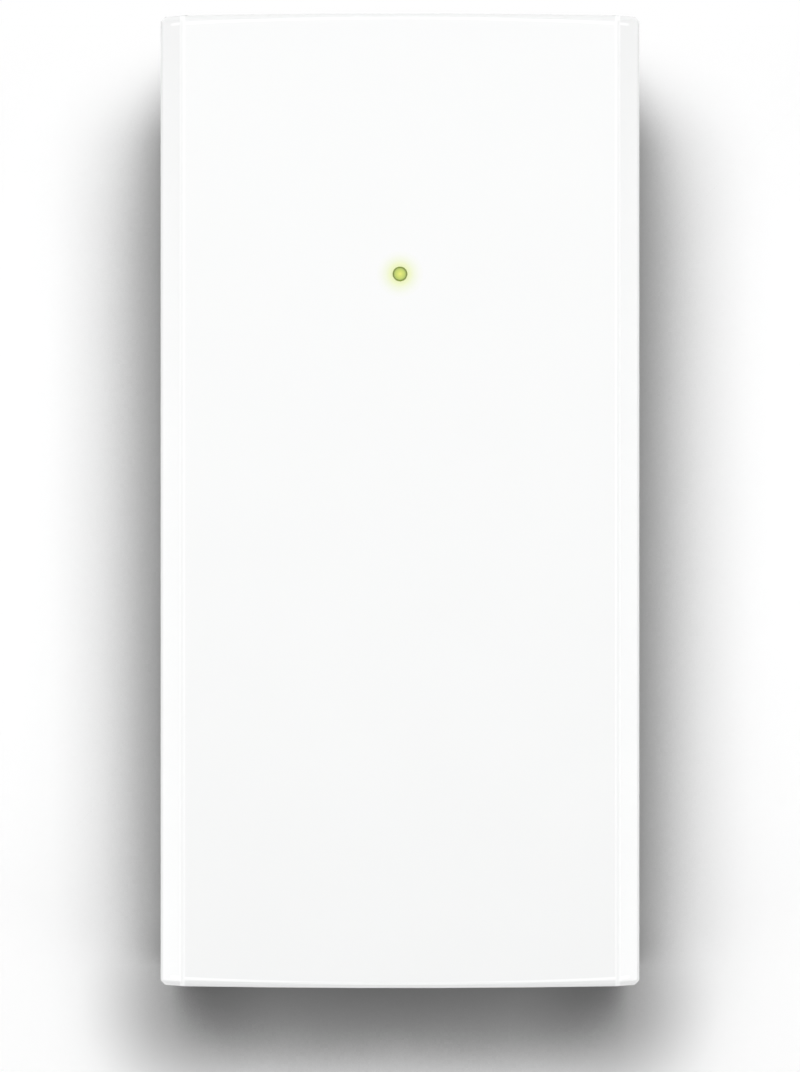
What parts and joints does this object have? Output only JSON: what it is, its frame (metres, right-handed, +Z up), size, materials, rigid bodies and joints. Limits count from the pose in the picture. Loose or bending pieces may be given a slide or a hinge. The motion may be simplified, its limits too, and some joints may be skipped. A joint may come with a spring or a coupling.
{
  "type": "power over ethernet injector",
  "caption": "Mains PoE injector: long white bevelled case with a mains inlet at one end, shielded data and power jacks at the other, a small status light on top and a circuit board inside.",
  "frame": {"origin": "middle of the case on the surface that its feet stand on", "axes": "+Y along the case towards the jacks, +X across it, +Z up out of the top with the status light"},
  "size_m": [0.063, 0.128, 0.038],
  "materials": {
    "case_white": "white moulded plastic, satin with a very fine grain",
    "light_guide": "clear light guide lit yellow-green",
    "led_body": "small surface-mounted light",
    "zinc_steel": "zinc-plated screw steel",
    "board_green": "glass-epoxy board with green resist",
    "insulating_film": "milky insulating film",
    "inlet_black": "black moulded inlet",
    "nickel_brass": "nickel-plated brass blades",
    "fuse_shell": "moulded fuse body",
    "varistor_blue": "blue dipped resin",
    "capacitor_box": "yellow film capacitor box",
    "black_moulding": "black moulded plastic",
    "ferrite": "dark sintered ferrite",
    "enamelled_copper": "enamelled copper winding",
    "capacitor_sleeve": "shrunk sleeve round an aluminium can",
    "sink_aluminium": "extruded aluminium",
    "package_black": "black moulded package",
    "thermal_pad": "grey thermal pad",
    "winding_tape": "yellow winding tape",
    "package_white": "white moulded package",
    "safety_blue": "blue dipped disc",
    "foot_rubber": "soft dark grey rubber",
    "jack_black": "black moulded jack",
    "contact_gold": "gold-plated sprung contacts",
    "shield_steel": "nickel-plated folded sheet"
  },
  "bodies": {
    "root": {"bottom_shell": "case_white", "bridge_rectifier": "black_moulding", "bulk_capacitor": "capacitor_sleeve", "case_screws": "zinc_steel", "choke_base": "black_moulding", "choke_core": "ferrite", "choke_windings": "enamelled_copper", "data_jack_carrier": "jack_black", "data_jack_contacts": "contact_gold", "data_jack_housing": "jack_black", "data_jack_shield": "shield_steel", "data_transformer": "package_black", "earth_pin": "nickel_brass", "filter_capacitor": "capacitor_box", "fuse": "fuse_shell", "heatsink_clips": "zinc_steel", "inductor_core": "ferrite", "inductor_winding": "enamelled_copper", "inlet_housing": "inlet_black", "insulation_sheet": "insulating_film", "light_pipe": "light_guide", "line_pin": "nickel_brass", "main_board": "board_green", "neutral_pin": "nickel_brass", "optocoupler": "package_white", "output_capacitor_1": "capacitor_sleeve", "output_capacitor_2": "capacitor_sleeve", "output_diode": "package_black", "port_controller": "package_black", "power_controller": "package_black", "power_jack_carrier": "jack_black", "power_jack_contacts": "contact_gold", "power_jack_housing": "jack_black", "power_jack_shield": "shield_steel", "power_switch": "package_black", "primary_heatsink": "sink_aluminium", "rubber_foot_1": "foot_rubber", "rubber_foot_2": "foot_rubber", "rubber_foot_3": "foot_rubber", "rubber_foot_4": "foot_rubber", "safety_capacitor": "safety_blue", "secondary_heatsink": "sink_aluminium", "status_led": "led_body", "thermal_pads": "thermal_pad", "top_shell": "case_white", "transformer_bobbin": "black_moulding", "transformer_coil": "winding_tape", "transformer_core": "ferrite", "varistor": "varistor_blue"}
  },
  "joints": []
}
